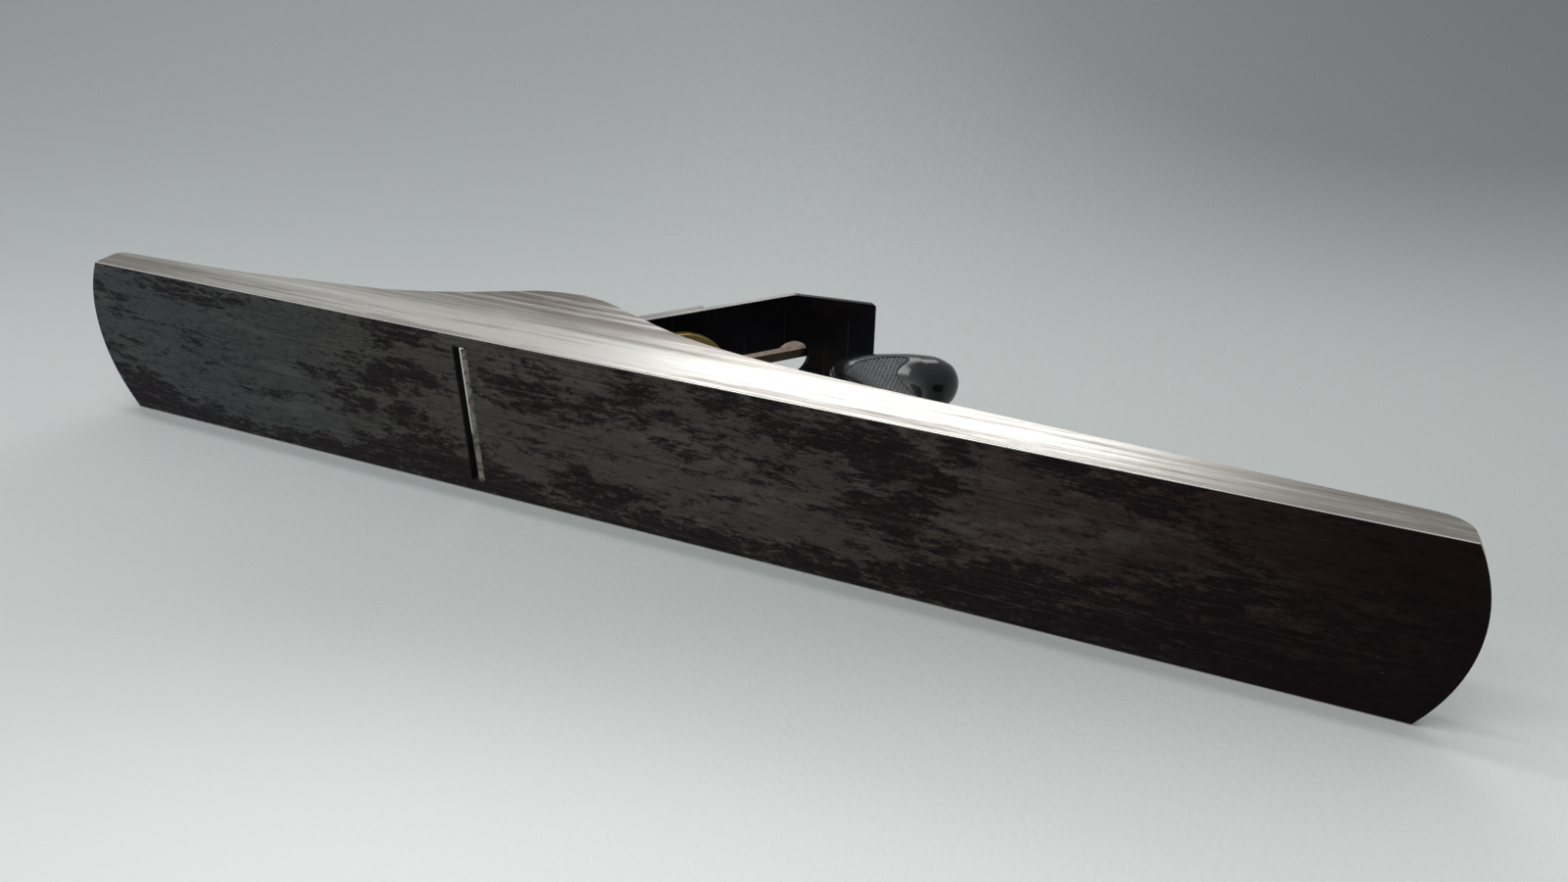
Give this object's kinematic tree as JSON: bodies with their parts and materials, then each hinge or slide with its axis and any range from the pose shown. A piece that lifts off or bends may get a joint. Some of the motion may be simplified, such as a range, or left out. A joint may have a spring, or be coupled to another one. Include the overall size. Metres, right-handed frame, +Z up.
{
  "type": "hand plane",
  "caption": "Long iron jointer hand plane with bedded cutting iron, lever cap, cam lever, under-iron brass depth wheel, checkered hard-rubber grip and round front knob.",
  "frame": {"origin": "middle of the sole, on the sole's face", "axes": "+X towards the toe, +Y towards the plane's left side, +Z up from the sole"},
  "size_m": [0.559, 0.072, 0.1266],
  "materials": {
    "body_iron": "milled and worn, bright cheeks, dark stained sole",
    "japanned_iron": "black japanning, worn on the edges",
    "blade_steel": "dark blue-brown patina",
    "fastener_steel": "dulled steel",
    "cap_iron_casting": "polished, slightly tarnished",
    "bronze": "brown tarnished bronze",
    "brass": "aged brass",
    "hard_rubber": "moulded hard rubber, gloss with a checkered panel"
  },
  "bodies": {
    "root": {"plane_body": "body_iron", "tote": "hard_rubber", "tote_rod": "fastener_steel", "tote_nut": "brass", "tote_toe_screw": "fastener_steel", "front_knob": "hard_rubber", "knob_rod": "fastener_steel", "knob_nut": "brass", "frog_screw_left": "fastener_steel", "frog_screw_right": "fastener_steel", "frog_washer_left": "fastener_steel", "frog_washer_right": "fastener_steel"},
    "frog_group": {"frog": "japanned_iron", "lever_pin": "fastener_steel", "fulcrum_screw": "fastener_steel"},
    "depth_wheel": {"adjusting_wheel": "brass", "adjusting_screw": "fastener_steel", "screw_collar": "fastener_steel"},
    "depth_nut": {"travelling_nut": "brass"},
    "depth_lever": {"adjusting_lever": "fastener_steel"},
    "cutting_irons": {"plane_iron": "blade_steel", "cap_iron": "blade_steel", "cap_iron_screw": "fastener_steel"},
    "cap_group": {"lever_cap": "cap_iron_casting", "cam_pin": "fastener_steel", "cap_spring": "fastener_steel", "spring_rivet": "fastener_steel"},
    "locking_lever": {"cam_lever": "bronze"}
  },
  "joints": [
    {"name": "frog_slide", "type": "slide", "parent": "root", "child": "frog_group", "axis": [1, 0, 0], "range_m": [0, 0.002]},
    {"name": "wheel_turn", "type": "hinge", "parent": "frog_group", "child": "depth_wheel", "pos_m": [0.02225, 0, 0.06025], "axis": [-0.7071, 0, -0.7071], "range_deg": [-447.3, 447.3]},
    {"name": "nut_travel", "type": "slide", "parent": "frog_group", "child": "depth_nut", "axis": [0.7071, 0, 0.7071], "range_m": [-0.00156, 0.00156]},
    {"name": "lever_pivot", "type": "hinge", "parent": "frog_group", "child": "depth_lever", "pos_m": [0.0277, 0, 0.02652], "axis": [0, 1, 0], "range_deg": [-3.25, 3.25]},
    {"name": "iron_feed", "type": "slide", "parent": "frog_group", "child": "cutting_irons", "axis": [0.7071, 0, -0.7071], "range_m": [-0.0012, 0.0012]},
    {"name": "cap_slide", "type": "slide", "parent": "frog_group", "child": "cap_group", "axis": [-0.7071, 0, 0.7071], "range_m": [0, 0.009]},
    {"name": "cam_lift", "type": "hinge", "parent": "cap_group", "child": "locking_lever", "pos_m": [0.01639, 0, 0.08096], "axis": [0, 1, 0], "range_deg": [0, 95]}
  ],
  "couplings": [
    {"joint": "wheel_turn", "follows": "iron_feed", "rad_per_m": 6505.7},
    {"joint": "nut_travel", "follows": "iron_feed", "ratio": 1.2943},
    {"joint": "lever_pivot", "follows": "iron_feed", "rad_per_m": 46.724}
  ]
}
